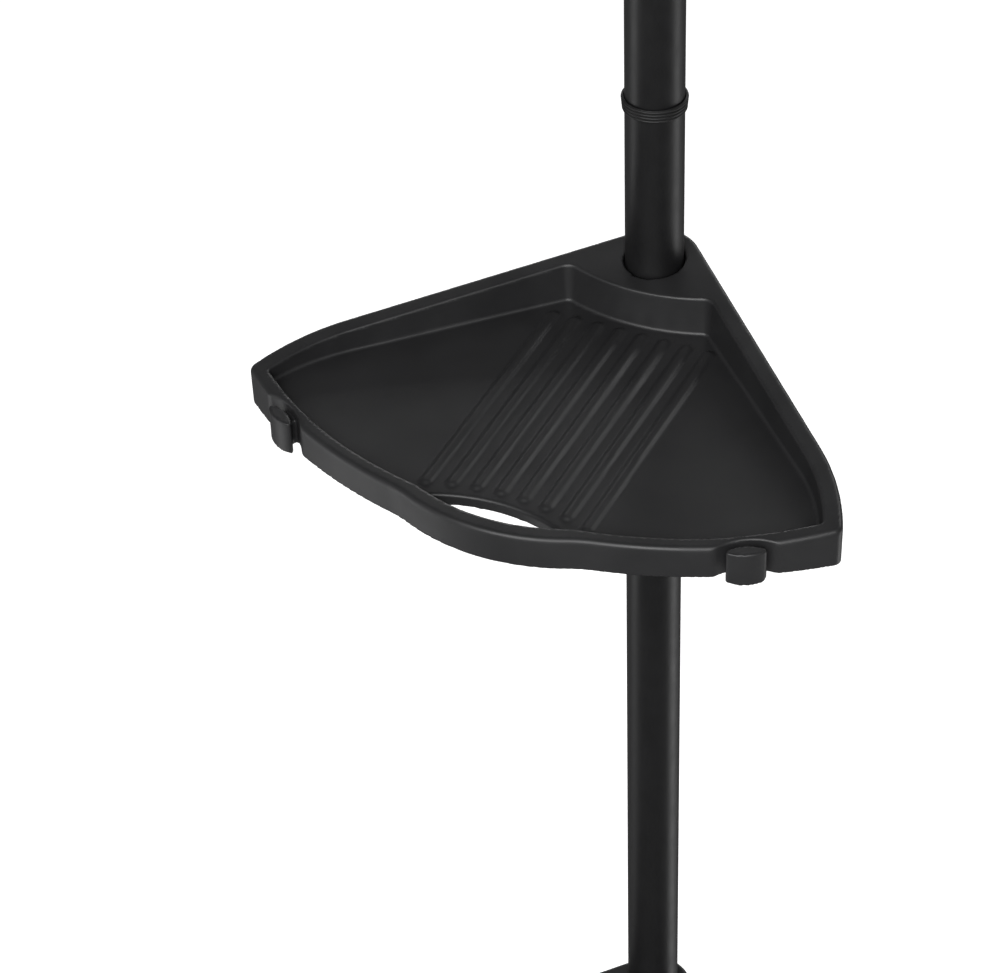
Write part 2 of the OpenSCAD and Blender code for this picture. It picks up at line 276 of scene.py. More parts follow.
def finish(name):
    """The named finish, made once."""
    if name in MADE:
        return MADE[name]
    look = bpy.context.scene.caddy_look
    if name == "moulded_abs":
        # Injection-moulded ABS from a spark-eroded tool: satin, with a fine grain and slow waves
        # where it shrank.
        made = surface("injection_moulded_ABS", look.tray_colour, look.tray_light, (0.36, 0.48), 0.7, 0.010,
                       24, {"IOR": 1.53, "Specular IOR Level": look.tray_gloss}, 0.05)
    elif name == "moulded_pp":
        # Injection-moulded polypropylene fittings: waxier and a touch greyer than the trays.
        made = surface("injection_moulded_polypropylene", "#121212", "#181819", (0.42, 0.58), 0.6, 0.012, 14,
                       {"IOR": 1.49})
    elif name == "enamel":
        # Stove enamel on steel tube: smooth satin black with a faint orange peel.
        made = surface("stove_enamelled_steel", "#0f0f10", "#141415", (0.38, 0.46), 1.4, 0.004, 9,
                       {"IOR": 1.5, "Coat Weight": 0.06, "Coat Roughness": 0.3})
    elif name == "rubber":
        # EPDM rubber pads: dead matt, with a talc-like bloom.
        made = surface("EPDM_rubber", "#141414", "#1e1e1d", (0.72, 0.88), 0.5, 0.03, 6, {"IOR": 1.52})
    elif name == "nylon":
        # Natural nylon guide pieces inside the tubes: milky and waxy.
        made = surface("moulded_nylon", "#b9b4a6", "#c9c5b8", (0.4, 0.5), 0.8, 0.01, 8, {"IOR": 1.53})
    else:
        # Hard-drawn spring wire: bright steel with a thin oil haze.
        made = surface("drawn_spring_wire", "#8d8f92", "#a3a5a7", (0.26, 0.4), 0.5, 0.006, 3,
                       {"Metallic": 1.0})
    MADE[name] = made
    return made


# ---------------------------------------------------------------- the tray's shape

class TrayShape:
    """The moulded tray as one smooth field in millimetres: below zero inside, above zero outside.

    Its own frame has the pole's axis at the origin, the rim's plane at z = 0 there and the front towards -Y.
    """

    def __init__(self, s):
        self.s = s
        self.back = s.back_dist
        reach = SIDE_REACH * math.sqrt(0.5)
        inset = (SIDE_R - self.back) * math.sqrt(0.5)
        self.side_c = np.array([reach - inset, -reach - inset])
        self.front_c = np.array([0.0, FRONT_Y])
        self.bulge_c = np.array([0.0, BULGE_Y])
        self.rake = math.tan(s.rake)
        self.fall = math.tan(math.radians(FLOOR_FALL))
        self.outer = self.edge(0.0, 0.0)
        self.inner = self.edge(s.rim_back, s.rim_front)

    @staticmethod
    def meet(c1, r1, c2, r2):
        """The point on the right at distance r1 from c1 and r2 from c2, with c1 above c2."""
        gap = c2 - c1
        d = np.linalg.norm(gap)
        u = gap / d
        k = (d * d + r1 * r1 - r2 * r2) / (2 * d)
        return c1 + k * u + math.sqrt(r1 * r1 - k * k) * np.array([-u[1], u[0]])

    def edge(self, b, f):
        """The right half of the outline, drawn in by b behind and f in front.

        It is a list of arcs (centre, radius, from, to, side), with the straight back edge's distance.
        """
        angle = lambda v: math.degrees(math.atan2(v[1], v[0]))
        k_r = max(CORNER_R - max(b, f), 1.5)
        k = self.meet(self.front_c, FRONT_R - f - k_r, self.side_c, SIDE_R - b - k_r)
        j_r, wide = BLEND_R + f, f * self.s.bulge_rim / self.s.rim_front
        j = self.meet(self.front_c, FRONT_R - f + j_r, self.bulge_c, BULGE_R - wide + j_r)
        k_side, k_front = angle(k - self.side_c), angle(k - self.front_c)
        j_front, j_bulge = angle(j - self.front_c), angle(j - self.bulge_c)
        return [(np.zeros(2), self.back - b, 45, 95, 1),
                (self.side_c, SIDE_R - b, k_side, 45, 1),
                (k, k_r, k_front, k_side, 1),
                (self.front_c, FRONT_R - f, j_front, k_front, 1),
                (j, j_r, j_bulge + 180, j_front + 180, -1),
                (self.bulge_c, BULGE_R - wide, -95, j_bulge, 1)], self.back - b

    def outline(self, x, y, half):
        """Signed distance to a closed outline: below zero inside."""
        arcs, back = half
        x = np.abs(x)
        best = np.full(np.broadcast(x, y).shape, 1e6)
        signed = best.copy()
        root = math.sqrt(0.5)
        along, off = (x - y) * root, (x + y) * root - back
        end = (self.side_c[0] - self.side_c[1]) * root
        hit = (along >= -0.01) & (along <= end + 0.01)
        best = np.where(hit, np.abs(off), best)
        signed = np.where(hit, off, signed)
        for c, r, a0, a1, side in arcs:
            dx, dy = x - c[0], y - c[1]
            length = np.hypot(dx, dy)
            middle = math.radians((a0 + a1) / 2)
            reach = math.cos(math.radians(abs(a1 - a0) / 2 + 0.05))
            hit = dx * math.cos(middle) + dy * math.sin(middle) >= reach * length
            off = (length - r) * side
            closer = hit & (np.abs(off) < best)
            best = np.where(closer, np.abs(off), best)
            signed = np.where(closer, off, signed)
        return signed

    @staticmethod
    def both(a, b, r):
        """Inside a and b, with the edge between them rounded."""
        return np.minimum(np.maximum(a, b), -r) + np.hypot(np.maximum(a + r, 0), np.maximum(b + r, 0))

    @staticmethod
    def either(a, b, r):
        """Inside a or b, with a fillet between them."""
        return np.maximum(np.minimum(a, b), r) - np.hypot(np.maximum(r - a, 0), np.maximum(r - b, 0))

    def rim(self, y):
        """Height of the rim: it falls from the pole, and runs level near the front."""
        low = -self.s.front_drop
        slope = self.rake * y
        return low + RIM_BEND * np.logaddexp(0, (slope - low) / RIM_BEND)

    def floor(self, y):
        """Height of the recess floor between its ribs."""
        return -self.s.floor_depth + self.fall * (y - self.back)

    def ribbed(self, x, y):
        """Height of the recess floor with its ribs: rounded swellings with round ends."""
        s, lift = self.s, 0.0
        for k in range(s.rib_count):
            rx = (k - (s.rib_count - 1) / 2) * s.rib_pitch + s.rib_shift
            y0 = RIB_ARC_Y + math.sqrt(RIB_ARC_R ** 2 - rx * rx) + s.rib_w / 2
            off = np.hypot(x - rx, y - np.clip(y, y0, RIB_BACK - s.rib_w / 2)) - s.rib_w / 2
            rise = np.clip(0.5 - off / s.rib_flank, 0, 1)
            lift = lift + s.rib_h * rise * rise * (3 - 2 * rise)
        return self.floor(y) + lift

    def at_hook(self, x, y, side):
        """A point in a hook's own plan: across it, and back from the front edge."""
        turn = math.radians(side * self.s.hook_angle - self.s.hook_turn)
        dx, dy = x - self.front_c[0], y - self.front_c[1]
        return (math.cos(turn) * dx + math.sin(turn) * dy,
                -math.sin(turn) * dx + math.cos(turn) * dy + FRONT_R)

    def field(self, x, y, z):
        """The whole tray's field at points."""
        s, both, either = self.s, self.both, self.either
        wall = s.wall
        outer = self.outline(x, y, self.outer)
        inner = both(self.outline(x, y, self.inner), BOSS_R - np.hypot(x, y - BOSS_Y), BOSS_FILLET)
        pole = np.hypot(x, y)
        rim, floor = self.rim(y), self.floor(y)
        level = math.cos(s.rake)
        skirt = -s.front_drop - s.skirt - z
        # the outside: a drafted wall under a rounded rim
        depth = np.clip(rim - z, 0, 40)
        out = outer + depth * SKIRT_DRAFT
        top = (z - rim) * level
        body = both(both(out, top, s.edge_r), skirt, 0.7)
        # the recess, whose wall leans in a little and turns into the floor
        inner = inner + depth * s.draft
        cavity = both(inner, self.ribbed(x, y) - z, s.floor_r)
        body = both(body, -cavity, s.inner_r)
        # the hollow underneath
        notch = np.full(1, 1e6)
        for side in (-1, 1):
            u, v = self.at_hook(x, y, side)
            notch = np.minimum(notch, np.hypot(u, v - s.notch_depth + s.notch_r) - s.notch_r)
        ceiling = either(z - (floor - SKIN), both((z - (rim - SKIN)) * level, wall - inner, 0.4), 0.1)
        hollow = both(both(out + wall, ceiling, 1.2), wall - notch, 0.8)
        body = both(body, -hollow, 0.4)
        # the drain slot: a rounded edge above, and a lip that hangs from it
        slot = np.hypot(x, y - SLOT_Y) - SLOT_R
        cut = both(slot, inner, 0.3)
        body = both(body, -cut, s.slot_edge)
        hang = both(z - (floor - s.slot_edge), floor - s.slot_lip - z, 0.4)
        lip = both(np.abs(slot - wall / 2) - wall / 2, both(out + wall / 2, hang, 0.3), 0.4)
        body = np.maximum(either(body, lip, 0.5), -cut)
        # webs and the hub underneath
        for a in WEB_ANGLES:
            c, d = math.cos(math.radians(a)), math.sin(math.radians(a))
            web = both(np.abs(x * c + y * d) - WEB_HALF,
                       np.maximum(z - (floor - 1), floor - WEB_DEEP - z), 0.3)
            web = np.maximum(web, np.maximum(np.maximum(out + wall / 2, 12.0 - slot), y + 15))
            body = either(body, web, 0.6)
        hub = both(pole - s.hub_r, both(z + 3, -s.hub_h - z, 0.5), 0.5)
        body = either(body, hub, 0.8)
        # the notches, and the hooks that stand in them
        body = both(body, -notch, 0.9)
        for side in (-1, 1):
            u, v = self.at_hook(x, y, side)
            low = -s.front_drop - s.hook_drop - s.hook_h
            mid = low + s.hook_h / 2
            tall = np.abs(z - mid) - s.hook_h / 2
            front = np.hypot(u, v - HOOK_FACE_R + s.hook_proud) - HOOK_FACE_R
            behind = np.hypot(u, v + HOOK_FACE_R + s.hook_proud - s.hook_t) - HOOK_FACE_R
            plate = both(both(front, behind, 0.6), both(np.abs(u) - s.hook_w / 2, tall, 0.6), 0.6)
            neck = both(np.abs(u) - HOOK_NECK / 2,
                        both(np.maximum(tall + 1, z - (low + s.hook_h - HOOK_NECK_DROP)),
                             np.maximum(-v, v - s.notch_depth - wall / 2), 0.3), 0.8)
            body = either(body, either(plate, neck, 0.9), 0.8)
        # the pole's hole, open to a tapered seat below
        body = both(body, s.hole_r - pole, 0.7)
        seat = np.maximum(pole - (CONE_R + CONE_SLOPE * (CONE_TOP - z)), z - CONE_TOP)
        return both(body, -seat, 0.3)


def surface_net(field, low, high, step):
    """A closed quad mesh of a field's zero surface: one point in each cell that the surface crosses.

    Each point is the mean of the crossings on its cell's edges, and each crossed grid edge gives one quad.
    """
    axes = [np.arange(low[i], high[i] + step, step) for i in range(3)]
    grid = field(axes[0][:, None, None], axes[1][None, :, None], axes[2][None, None, :]).astype(np.float32)
    inside = grid < 0
    shape = np.array(grid.shape) - 1
    total = np.zeros(tuple(shape) + (3,), np.float32)
    count = np.zeros(tuple(shape), np.float32)
    corner = lambda a, o: a[o[0]:o[0] + shape[0], o[1]:o[1] + shape[1], o[2]:o[2] + shape[2]]
    for axis in range(3):
        for p in (0, 1):
            for q in (0, 1):
                o = [p, q]
                o.insert(axis, 0)
                e = list(o)
                e[axis] = 1
                a, b = corner(grid, o), corner(grid, e)
                cross = (a < 0) != (b < 0)
                t = np.where(cross, a / np.where(cross, a - b, 1), 0)
                for i in range(3):
                    total[..., i] += np.where(cross, t if i == axis else o[i], 0)
                count += cross
    used = count > 0
    index = np.full(tuple(shape), -1, np.int64)
    index[used] = np.arange(int(used.sum()))
    cell = np.argwhere(used)
    points = (cell + total[used] / count[used][:, None]) * step + np.array(low)
    faces = []
    for axis in range(3):
        u, v = (axis + 1) % 3, (axis + 2) % 3
        ahead = np.roll(inside, -1, axis)
        change = inside != ahead
        cut = [slice(1, -1)] * 3
        cut[axis] = slice(0, -1)
        at = np.argwhere(change[tuple(cut)])
        for i in range(3):
            if i != axis:
                at[:, i] += 1
        rising = inside[tuple(at.T)]
        quads = []
        for du, dv in ((1, 1), (0, 1), (0, 0), (1, 0)):
            c = at.copy()
            c[:, u] -= du
            c[:, v] -= dv
            quads.append(index[tuple(c.T)])
        quads = np.stack(quads, 1)
        faces.append(np.where(rising[:, None], quads, quads[:, ::-1]))
    return points, np.concatenate(faces)


def slopes(field, p, h=0.12):
    """The field's gradient at points, by central differences."""
    g = np.empty_like(p)
    for i in range(3):
        d = np.zeros(3)
        d[i] = h
        a, b = p + d, p - d
        g[:, i] = (field(*a.T) - field(*b.T)) / (2 * h)
    return g


def settle(field, points, faces, rounds=2):
    """Evens the points out a little, puts each one on the true surface and returns its normal.

    A point that would wander too far goes back to where it started.
    """
    start = points.copy()
    edges = np.concatenate([faces[:, [i, (i + 1) % 4]] for i in range(4)])
    for turn in range(rounds + 1):
        if turn:
            total, count = np.zeros_like(points), np.zeros(len(points))
            for a, b in ((0, 1), (1, 0)):
                np.add.at(total, edges[:, a], points[edges[:, b]])
                np.add.at(count, edges[:, a], 1)
            normal = slopes(field, points)
            normal /= np.linalg.norm(normal, axis=1)[:, None] + 1e-9
            move = total / count[:, None] - points
            points = points + 0.5 * (move - normal * (move * normal).sum(1)[:, None])
        for _ in range(2):
            g = slopes(field, points)
            step = field(*points.T) / np.maximum((g * g).sum(1), 0.25)
            points = points - g * np.clip(step, -0.6, 0.6)[:, None]
    drift = np.linalg.norm(points - start, axis=1) > 2.0
    points[drift] = start[drift]
    normal = slopes(field, points, 0.2)
    return points, normal / (np.linalg.norm(normal, axis=1)[:, None] + 1e-9)


# ---------------------------------------------------------------- node trees for what repeats

def new_tree(name, inputs):
    """A geometry tree with a mesh in and out and the named inputs."""
    tree = bpy.data.node_groups.new(name, "GeometryNodeTree")
    tree.interface.new_socket("Geometry", in_out="INPUT", socket_type="NodeSocketGeometry")
    tree.interface.new_socket("Geometry", in_out="OUTPUT", socket_type="NodeSocketGeometry")
    for label, kind in inputs:
        tree.interface.new_socket(label, in_out="INPUT", socket_type="NodeSocket" + kind)
    source = add_node(tree, "NodeGroupInput").outputs
    return tree, source


def close_tree(tree, geometry, material):
    """Ends a tree in real geometry with its material set."""
    real = add_node(tree, "GeometryNodeRealizeInstances", Geometry=geometry)
    painted = add_node(tree, "GeometryNodeSetMaterial", Geometry=real.outputs[0], Material=material)
    add_node(tree, "NodeGroupOutput", Geometry=painted.outputs[0])


def ridge_tree():
    """Rounded ridges stacked down the pole, each a little smaller than the one above."""
    tree, given = new_tree("ring_ridges", (("Radius", "Float"), ("Taper", "Float"), ("Bead", "Float"),
                                           ("Count", "Int"), ("Pitch", "Float"), ("Top", "Float"),
                                           ("Material", "Material")))
    drop = add_node(tree, "ShaderNodeMath", {"operation": "MULTIPLY", 1: -1.0}, i0=given["Pitch"])
    start = add_node(tree, "ShaderNodeCombineXYZ", Z=given["Top"])
    step = add_node(tree, "ShaderNodeCombineXYZ", Z=drop.outputs[0])
    line = add_node(tree, "GeometryNodeMeshLine", Count=given["Count"], Start_Location=start.outputs[0],
                    Offset=step.outputs[0])
    loop = add_node(tree, "GeometryNodeCurvePrimitiveCircle", {"Resolution": 96}, Radius=given["Radius"])
    bead = add_node(tree, "GeometryNodeCurvePrimitiveCircle", {"Resolution": 12}, Radius=given["Bead"])
    ridge = add_node(tree, "GeometryNodeCurveToMesh", Curve=loop.outputs[0], Profile_Curve=bead.outputs[0])
    smooth = add_node(tree, "GeometryNodeSetShadeSmooth", Geometry=ridge.outputs[0])
    index = add_node(tree, "GeometryNodeInputIndex").outputs[0]
    loss = add_node(tree, "ShaderNodeMath", {"operation": "MULTIPLY"}, i0=index, i1=given["Taper"])
    share = add_node(tree, "ShaderNodeMath", {"operation": "DIVIDE"}, i0=loss.outputs[0], i1=given["Radius"])
    wide = add_node(tree, "ShaderNodeMath", {"operation": "SUBTRACT", 0: 1.0}, i1=share.outputs[0])
    scale = add_node(tree, "ShaderNodeCombineXYZ", {"Z": 1.0}, X=wide.outputs[0], Y=wide.outputs[0])
    placed = add_node(tree, "GeometryNodeInstanceOnPoints", Points=line.outputs[0],
                      Instance=smooth.outputs[0], Scale=scale.outputs[0])
    joined = add_node(tree, "GeometryNodeJoinGeometry", Geometry=given["Geometry"])
    tree.links.new(placed.outputs[0], joined.inputs[0])
    close_tree(tree, joined.outputs[0], given["Material"])
    return tree


def coil_tree():
    """A round wire wound into a helix."""
    tree, given = new_tree("wound_coil", (("Radius", "Float"), ("Wire", "Float"), ("Turns", "Float"),
                                          ("Length", "Float"), ("Foot", "Float"), ("Material", "Material")))
    helix = add_node(tree, "GeometryNodeCurveSpiral", {"Resolution": 32}, Rotations=given["Turns"],
                     Start_Radius=given["Radius"], End_Radius=given["Radius"], Height=given["Length"])
    wire = add_node(tree, "GeometryNodeCurvePrimitiveCircle", {"Resolution": 14}, Radius=given["Wire"])
    coil = add_node(tree, "GeometryNodeCurveToMesh", {"Fill Caps": True}, Curve=helix.outputs[0],
                    Profile_Curve=wire.outputs[0])
    lift = add_node(tree, "ShaderNodeCombineXYZ", Z=given["Foot"])
    placed = add_node(tree, "GeometryNodeTransform", Geometry=coil.outputs[0], Translation=lift.outputs[0])
    smooth = add_node(tree, "GeometryNodeSetShadeSmooth", Geometry=placed.outputs[0])
    close_tree(tree, smooth.outputs[0], given["Material"])
    return tree


def grow(obj, tree, values):
    """Runs a node tree on an object with the named values, and keeps the result as a plain mesh."""
    modifier = obj.modifiers.new(tree.name, "NODES")
    modifier.node_group = tree
    sockets = {item.name: item.identifier for item in tree.interface.items_tree
               if item.item_type == "SOCKET" and item.in_out == "INPUT"}
    for label, value in values.items():
        modifier[sockets[label]] = value
    apply_modifiers(obj)


# ---------------------------------------------------------------- settings

def length(name, text, value, low=0.0, high=1000.0):
    """A number in the unit that its description says."""
    return bpy.props.FloatProperty(name=name, description=text, default=value, min=low, max=high)


def watts(name, value):
    """A light's power."""
    return bpy.props.FloatProperty(name=name, description="Power in watts", default=value, unit="POWER")


class CaddyTray(bpy.types.PropertyGroup):
    """Sizes of the moulded tray, in millimetres unless an angle"""
    back_dist: length("Back distance", "From the pole's axis to each back edge, mm", 19.8)
    rim_back: length("Back rim", "Width of the rim along the back edges, mm", 8.0)
    rim_front: length("Front rim", "Width of the rim along the front, mm", 6.4)
    bulge_rim: length("Bulge rim", "Width of the rim at the front's middle, mm", 8.0)
    rake: bpy.props.FloatProperty(name="Rake", description="How far the rim tips down to the front",
                                  default=math.radians(7.5), subtype="ANGLE")
    front_drop: length("Front drop", "Height of the front rim below the rim at the pole, mm", 18.5)
    floor_depth: length("Floor depth", "Depth of the floor below the rim at the pole, mm", 19.4)
    skirt: length("Skirt", "Height of the front skirt, mm", 15.0)
    wall: length("Wall", "Thickness of the moulded walls, mm", 2.2)
    edge_r: length("Edge radius", "Rounding of the rim's outer edge, mm", 2.0)
    inner_r: length("Inner edge radius", "Rounding of the edge round the recess, mm", 0.9)
    floor_r: length("Floor radius", "Fillet between the recess wall and its floor, mm", 1.3)
    draft: length("Draft", "Lean of the recess wall, mm in each mm", 0.06)
    rib_count: bpy.props.IntProperty(name="Ribs", description="Number of raised ribs on the floor",
                                     default=8, min=1)
    rib_pitch: length("Rib pitch", "Spacing of the ribs, mm", 10.2)
    rib_shift: length("Rib shift", "How far the set of ribs sits to one side, mm", 2.0, -5, 5)
    rib_w: length("Rib width", "Width of a rib, mm", 4.4)
    rib_h: length("Rib height", "Height of a rib above the floor, mm", 1.1)
    rib_flank: length("Rib flank", "Width over which a rib's side rises, mm", 2.6)
    slot_edge: length("Slot edge radius", "Rounding of the drain slot's upper edge, mm", 1.5)
    slot_lip: length("Slot lip", "Depth of the lip under the drain slot's back edge, mm", 5.5)
    hook_angle: length("Hook angle", "Angle of a hook from the front's middle, degrees", 29.9)
    hook_turn: length("Hook turn", "How far both hooks sit to one side, degrees", 0.8, -3, 3)
    hook_w: length("Hook width", "Width of a hook's plate, mm", 16.0)
    hook_h: length("Hook height", "Height of a hook's plate, mm", 15.6)
    hook_t: length("Hook thickness", "Thickness of a hook's plate at its middle, mm", 5.8)
    hook_proud: length("Hook reach", "How far a hook's plate stands out of the front, mm", 4.5)
    hook_drop: length("Hook drop", "Depth of a hook's top below the front rim, mm", 0.3)
    notch_depth: length("Notch depth", "Depth of the notch behind a hook, mm", 4.0)
    notch_r: length("Notch radius", "Radius of the round notch behind a hook, mm", 23.0)
    hub_r: length("Hub radius", "Outside radius of the hub under the tray, mm", 17.6)
    hub_h: length("Hub depth", "Depth of the hub below the rim, mm", 38.0)
    hole_r: length("Hole radius", "Radius of the pole's hole, mm", 13.1)
    cell: length("Mesh cell", "Size of the mesh's faces, mm", 1.25, 0.8, 6)


class CaddyRing(bpy.types.PropertyGroup):
    """Sizes of the ridged rings at the tube joints, in millimetres"""
    height: length("Height", "Height of a ring, mm", 6.0)
    lip: length("Lip", "How far a ring stands out of the tube, mm", 1.4)
    count: bpy.props.IntProperty(name="Ridges", description="Number of ridges round a ring", default=4, min=1)
    bead: length("Bead", "Radius of a ridge's round edge, mm", 0.5)
    taper: length("Taper", "How much smaller each ridge is than the one above, mm", 0.13)


class CaddyLook(bpy.types.PropertyGroup):
    """Colours of the black mouldings"""
    tray_colour: bpy.props.StringProperty(name="Tray", description="sRGB hex colour", default="#1f1f20")
    tray_light: bpy.props.StringProperty(name="Tray, lighter", description="sRGB hex colour",
                                         default="#262627")
    tray_gloss: bpy.props.FloatProperty(name="Tray gloss", description="Specular level",
                                        default=0.5, min=0, max=1)


class CaddyStage(bpy.types.PropertyGroup):
    """Camera and lights"""
    azimuth: bpy.props.FloatProperty(name="Azimuth", description="Camera's angle round the pole",
                                     default=math.radians(27.13), subtype="ANGLE")
    pitch: bpy.props.FloatProperty(name="Pitch", description="How far the camera looks down",
                                   default=math.radians(38.86), subtype="ANGLE")
    roll: bpy.props.FloatProperty(name="Roll", description="Camera's roll", default=math.radians(2.05),
                                  subtype="ANGLE")
    lens: bpy.props.FloatProperty(name="Lens", description="Focal length in mm on a 36 mm wide sensor",
                                  default=117.405)
    offset: bpy.props.FloatVectorProperty(name="Camera offset",
                                          description="From the top tray's rim at the pole",
                                          default=(0.45541, -1.03947, 0.79148),
                                          subtype="TRANSLATION", unit="LENGTH")
    room: bpy.props.FloatProperty(name="Room", description="Half the floor's width and the backdrop's radius",
                                  default=16.0, unit="LENGTH")
    sky: length("Surroundings", "Brightness of the surroundings", 0.12)
    floor_glow: length("Floor glow", "Brightness that evens out the pale floor", 0.82)
    backdrop_glow: length("Backdrop glow", "Brightness of the backdrop", 0.96)
    left: watts("Left light", 14)
    right: watts("Right light", 18)
    front: watts("Front light", 118)
    back: watts("Back light", 14)
    low: watts("Low back light", 18)


# ---------------------------------------------------------------- operators

class CADDY_OT_trays(bpy.types.Operator):
    """Builds the moulded trays"""
    bl_idname = "caddy.trays"
    bl_label = "Trays"

    def execute(self, context):
        s = context.scene.caddy_tray
        field = TrayShape(s).field
        step = s.cell
        points, faces = surface_net(field, (-132.0, -176.0, -40.5), (132.0, 23.0, 5.0), step)
        points, normals = settle(field, points, faces, 1)
        rise = s.back_dist * math.tan(s.rake) * MM
        for node in TRAYS:
            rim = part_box(node)[1].z - rise
            obj = mesh_object("moulded_" + node, points * MM + np.array([0, 0, rim]), faces, normals)
            finish_piece(obj, body_of(node), "tray_plastic", finish("moulded_abs"), node)
        return {"FINISHED"}


class CADDY_OT_stage(bpy.types.Operator):
    """Sets up the camera, the floor and the lights"""
    bl_idname = "caddy.stage"
    bl_label = "Stage"

    def execute(self, context):
        s = context.scene.caddy_stage
        tray = context.scene.caddy_tray
        aim = Vector((0, 0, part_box("tray_4")[1].z - tray.back_dist * math.tan(tray.rake) * MM))
        data = bpy.data.cameras.new("camera")
        data.lens, data.sensor_width, data.sensor_fit = s.lens, 36.0, "HORIZONTAL"
        data.clip_start, data.clip_end = 0.05, 60
        camera = bpy.data.objects.new("camera", data)
        context.scene.collection.objects.link(camera)
        back = Vector((math.sin(s.azimuth) * math.cos(s.pitch), -math.cos(s.azimuth) * math.cos(s.pitch),
                       math.sin(s.pitch)))
        right = Vector((math.cos(s.azimuth), math.sin(s.azimuth), 0))
        up = back.cross(right)
        right, up = (right * math.cos(s.roll) - up * math.sin(s.roll),
                     up * math.cos(s.roll) + right * math.sin(s.roll))
        turn = Matrix((right, up, back)).transposed().to_4x4()
        camera.matrix_world = Matrix.Translation(aim + Vector(s.offset)) @ turn
        context.scene.camera = camera

        ground = mesh_object("ground", [(x * s.room, y * s.room, 0) for x, y in
                                        ((-1, -1), (1, -1), (1, 1), (-1, 1))], [(0, 1, 2, 3)], smooth=False)
        bpy.ops.mesh.primitive_uv_sphere_add(segments=48, ring_count=24, radius=s.room)
        backdrop = context.object
        backdrop.name = "backdrop"
        # Matt studio paint: a pale floor that still takes soft shadows, and an even backdrop round it.
        for obj, name, glow, base in ((ground, "floor_paint", s.floor_glow, "#f4f4f3"),
                                      (backdrop, "backdrop_paint", s.backdrop_glow, "#000000")):
            material, tree, shader = new_material(name)
            shader.inputs["Base Color"].default_value = linear(base)
            shader.inputs["Roughness"].default_value = 1.0
            shader.inputs["Specular IOR Level"].default_value = 0.0
            shader.inputs["Emission Color"].default_value = (1, 1, 1, 1)
            shader.inputs["Emission Strength"].default_value = glow
            obj.data.materials.clear()
            obj.data.materials.append(material)
            obj.visible_glossy = False
            obj.visible_shadow = False
        backdrop.visible_diffuse = False

        world = bpy.data.worlds.new("surroundings")
        context.scene.world = world
        world.use_nodes = True
        world.node_tree.nodes["Background"].inputs[0].default_value = (1, 1, 1, 1)
        world.node_tree.nodes["Background"].inputs[1].default_value = s.sky
        context.scene.view_settings.view_transform = "Standard"
        for name, place, target, wide, high, power in (
                ("light_left", (-2.3, -1.42, 0.85), (0, 0, 1.6), 1.2, 2.6, s.left),
                ("light_right", (2.45, 1.2, -0.1), (0, 0, 1.3), 1.4, 2.8, s.right),
                ("light_front", (0.5, -2.6, 3.5), (0, 0, 1.7), 3.0, 2.4, s.front),
                ("light_back", (1.1, 2.8, 3.7), (0, 0, 1.7), 1.6, 1.2, s.back),
                ("light_low", (-0.95, 2.9, 2.35), (0, 0, 1.7), 2.2, 1.1, s.low)):
            lamp = bpy.data.lights.new(name, "AREA")
            lamp.shape, lamp.size, lamp.size_y, lamp.energy = "RECTANGLE", wide, high, power
            obj = bpy.data.objects.new(name, lamp)
            context.scene.collection.objects.link(obj)
            obj.location = place
            obj.rotation_mode = "QUATERNION"
            obj.rotation_quaternion = (Vector(target) - Vector(place)).to_track_quat("-Z", "Y")
        return {"FINISHED"}


class CADDY_OT_tubes(bpy.types.Operator):
    """Gives the tubes and the hidden guides their finishes"""
    bl_idname = "caddy.tubes"
    bl_label = "Tubes and guides"

    def execute(self, context):
        for name, obj in frame["nodes"].items():
            kind = "enamel" if name in TUBES else "nylon"
            obj.data.materials.clear()
            obj.data.materials.append(finish(kind))
        return {"FINISHED"}


class CADDY_OT_rings(bpy.types.Operator):
    """Builds the ridged rings at the tube joints and on the spring tube's mouth"""
    bl_idname = "caddy.rings"
    bl_label = "Joint rings and collar"

    def execute(self, context):
        s = context.scene.caddy_ring
        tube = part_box("lower_tube")[1].x / MM
        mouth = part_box("plunger_tube")[1].x / MM + 0.3
        # radii: a spigot's two faces inside a tube, the step on a tube's end, and the ring behind its ridges
        bore = tube - 1
        inside, spigot, step, core = bore - 2.05, bore - 0.05, tube + 0.25, tube + s.lip - 0.45
        tree = ridge_tree()
        for node in ("lower_joint", "middle_joint", "upper_joint", "end_collar"):
            low, high = (v.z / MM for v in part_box(node))
            if node == "end_collar":
                crown, lid = high, high - 2
                base = [(tube + 0.03, low), (core, low), (core + 0.15, high), (mouth, high), (mouth, lid),
                        (tube + 0.03, lid)]
            else:
                mid = (low + high) / 2
                crown, foot = mid + s.height / 2, mid - s.height / 2
                base = [(inside, low), (spigot, low), (spigot, mid - 1), (step, mid - 1), (step, foot),
                        (core - 0.3, foot), (core, crown), (step, crown), (step, mid + 1),
                        (spigot, mid + 1), (spigot, high), (inside, high)]
            obj = lathe("ridged_" + node, base, radius=0.22)
            grow(obj, tree, {"Radius": core * MM, "Taper": s.taper * MM, "Bead": s.bead * MM,
                             "Count": s.count, "Pitch": s.height / s.count * MM,
                             "Top": (crown - s.height / s.count / 2) * MM, "Material": finish("moulded_pp")})
            finish_piece(obj, body_of(node), "fitting_plastic", finish("moulded_pp"), node)
        return {"FINISHED"}


